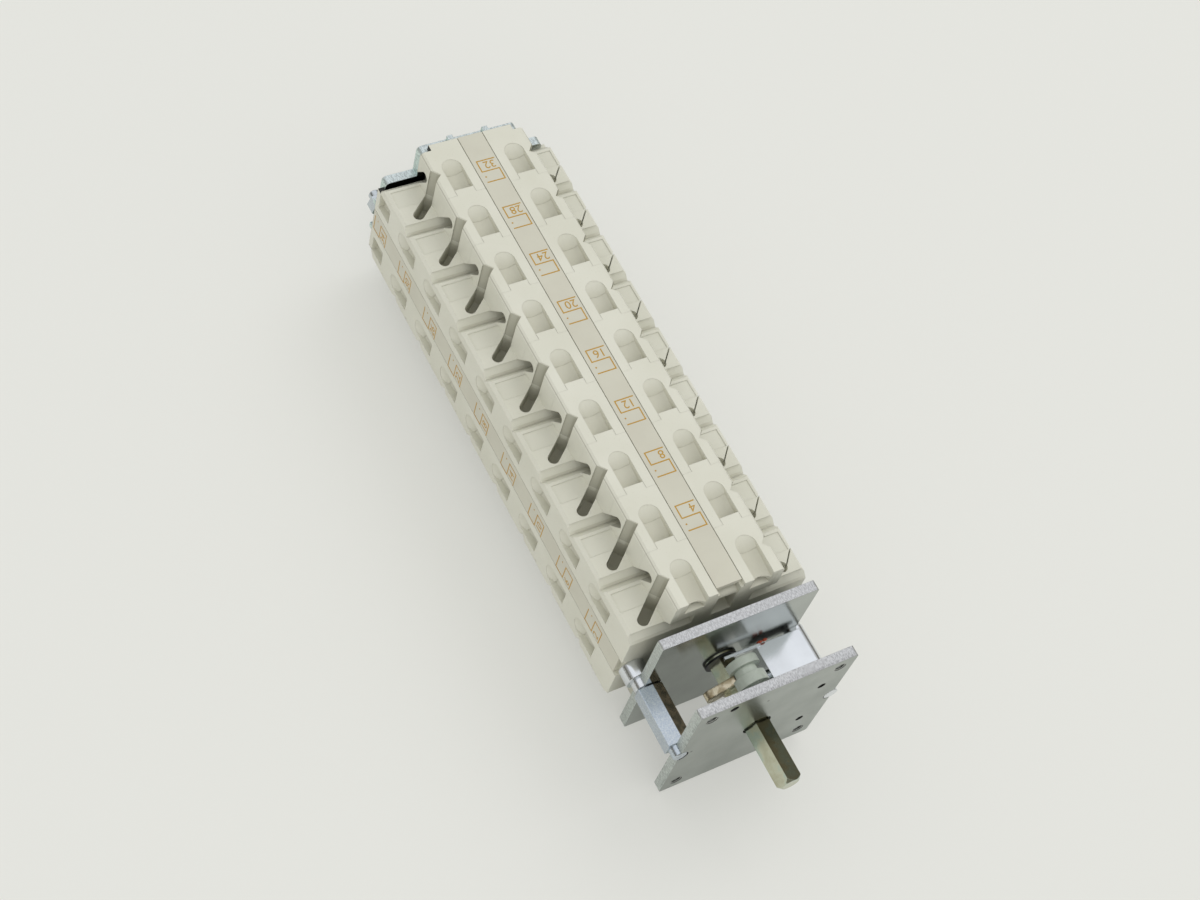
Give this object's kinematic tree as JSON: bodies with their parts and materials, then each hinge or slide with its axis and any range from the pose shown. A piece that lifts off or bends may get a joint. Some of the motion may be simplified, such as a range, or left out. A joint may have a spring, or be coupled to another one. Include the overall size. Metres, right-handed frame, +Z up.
{
  "type": "rotary cam switch",
  "caption": "Long rotary switch: a stack of plus-shaped moulded contact stages behind two zinc-plated plates, turned by a square shaft.",
  "frame": {"origin": "point where the shaft's axis meets the front face of the front plate", "axes": "+Y back along the stack of stages, -Y towards the shaft's end, +X right and +Z up as the switch lies on its flat underside"},
  "size_m": [0.0754, 0.294, 0.0754],
  "materials": {
    "zinc_steel": "blue-white zinc plate, satin",
    "passivated_steel": "yellow-green passivated zinc plate",
    "tan_steel": "yellow passivated zinc plate",
    "black_steel": "black oxide",
    "spring_steel": "bright wire",
    "warm_white_moulding": "matt thermoset moulding",
    "grey_strip": "matt, printed in ochre",
    "nylon": "translucent grey-green nylon",
    "cam_plastic": "matt"
  },
  "bodies": {
    "frame": {"front_plate": "zinc_steel", "rear_plate": "zinc_steel", "end_plate": "zinc_steel", "side_bar": "zinc_steel", "side_post": "zinc_steel", "spacer_left": "zinc_steel", "spacer_right": "zinc_steel", "tie_rod_left": "zinc_steel", "tie_rod_right": "zinc_steel", "tie_nuts": "zinc_steel", "detent_housing": "zinc_steel", "terminal_screws": "zinc_steel", "detent_spring": "spring_steel", "label_strip_top": "grey_strip", "label_strip_bottom": "grey_strip", "label_strip_left": "grey_strip", "label_strip_right": "grey_strip", "stage_1": "warm_white_moulding", "stage_2": "warm_white_moulding", "stage_3": "warm_white_moulding", "stage_4": "warm_white_moulding", "stage_5": "warm_white_moulding", "stage_6": "warm_white_moulding", "stage_7": "warm_white_moulding", "stage_8": "warm_white_moulding", "stage_9": "warm_white_moulding"},
    "rotor": {"shaft": "passivated_steel", "rotor_block": "nylon", "stop_arm": "tan_steel", "bearing_bush": "passivated_steel", "retaining_ring": "black_steel", "cam_1": "cam_plastic", "cam_2": "cam_plastic", "cam_3": "cam_plastic", "cam_4": "cam_plastic", "cam_5": "cam_plastic", "cam_6": "cam_plastic", "cam_7": "cam_plastic", "cam_8": "cam_plastic", "cam_9": "cam_plastic"},
    "plunger": {"detent_plunger": "spring_steel"}
  },
  "joints": [
    {"name": "shaft_turn", "type": "hinge", "parent": "frame", "child": "rotor", "pos_m": [0, 0, 0], "axis": [0, 1, 0], "range_deg": [-90, 0]},
    {"name": "plunger_slide", "type": "slide", "parent": "frame", "child": "plunger", "axis": [1, 0, 0], "range_m": [0, 0.0015], "stiffness_N_per_m": 1500, "springref_m": -0.002, "deforming": ["detent_spring"]}
  ]
}
